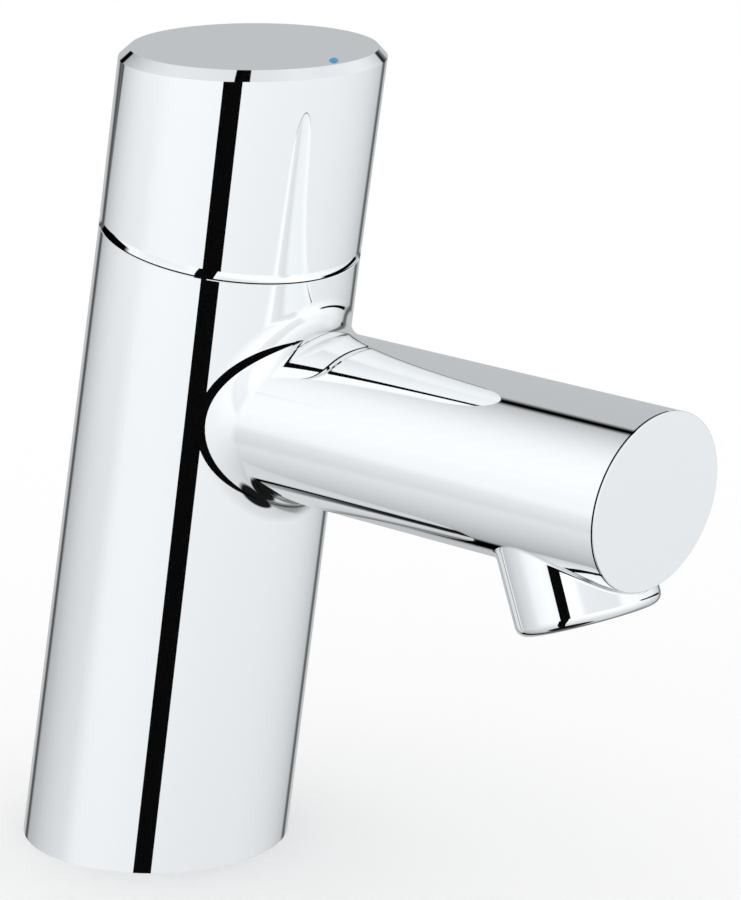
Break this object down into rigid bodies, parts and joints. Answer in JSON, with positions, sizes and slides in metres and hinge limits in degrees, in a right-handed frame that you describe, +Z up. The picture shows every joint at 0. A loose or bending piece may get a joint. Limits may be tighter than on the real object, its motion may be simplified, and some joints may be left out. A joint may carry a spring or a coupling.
{
  "type": "basin pillar tap",
  "caption": "Pillar tap with leaning round chromed body, quarter-turn rotary handle on top, horizontal round spout, short tilted outlet nozzle, threaded tail and deck clamp.",
  "frame": {"origin": "middle of the tap's base, on the plane of the deck that it stands on", "axes": "+Z up, +X along the spout, towards the user; +Y to the left of someone who stands behind the tap and looks along the spout"},
  "size_m": [0.138, 0.046, 0.195],
  "materials": {
    "chrome_plate": "polished chrome plating",
    "raw_brass": "turned brass",
    "stainless": "fine turned",
    "white_ceramic": "lapped",
    "black_rubber": "moulded",
    "red_fibre": "pressed fibre",
    "black_plastic": "moulded",
    "white_plastic": "moulded",
    "blue_plastic": "gloss"
  },
  "bodies": {
    "tap_body": {"body_casting": "chrome_plate", "spout_end_cap": "chrome_plate", "base_gasket": "black_rubber", "inlet_tail": "raw_brass", "tail_seal": "red_fibre", "headpart_body": "raw_brass", "headpart_washer": "red_fibre", "seat_seal": "black_rubber", "fixed_disc": "white_ceramic", "guide_ring": "black_plastic", "aerator_seal": "black_rubber", "flow_regulator": "white_plastic", "aerator_housing": "white_plastic", "aerator_screen": "white_plastic"},
    "handle": {"handle_shell": "chrome_plate", "handle_insert": "raw_brass", "cold_mark": "blue_plastic", "grub_screw": "stainless", "screw_cover": "chrome_plate", "spindle": "raw_brass", "spindle_rings": "black_rubber", "spindle_clip": "stainless", "friction_washer": "white_plastic", "moving_disc": "white_ceramic"},
    "clamp_washers": {"clamp_rubber": "black_rubber", "clamp_plate": "stainless"},
    "clamp_nut": {"back_nut": "raw_brass"}
  },
  "joints": [
    {"name": "handle_turn", "type": "hinge", "parent": "tap_body", "child": "handle", "pos_m": [0, 0, 0], "axis": [0.1779, 0, 0.984], "range_deg": [0, 90]},
    {"name": "clamp_travel", "type": "slide", "parent": "tap_body", "child": "clamp_washers", "axis": [0, 0, 1], "range_m": [-0.0095, 0.012]},
    {"name": "nut_turn", "type": "hinge", "parent": "clamp_washers", "child": "clamp_nut", "pos_m": [0, 0, -0.02], "axis": [0, 0, 1], "range_deg": [-1880, 2380]}
  ],
  "couplings": [
    {"joint": "clamp_travel", "follows": "nut_turn", "m_per_rad": 0.00028875}
  ]
}
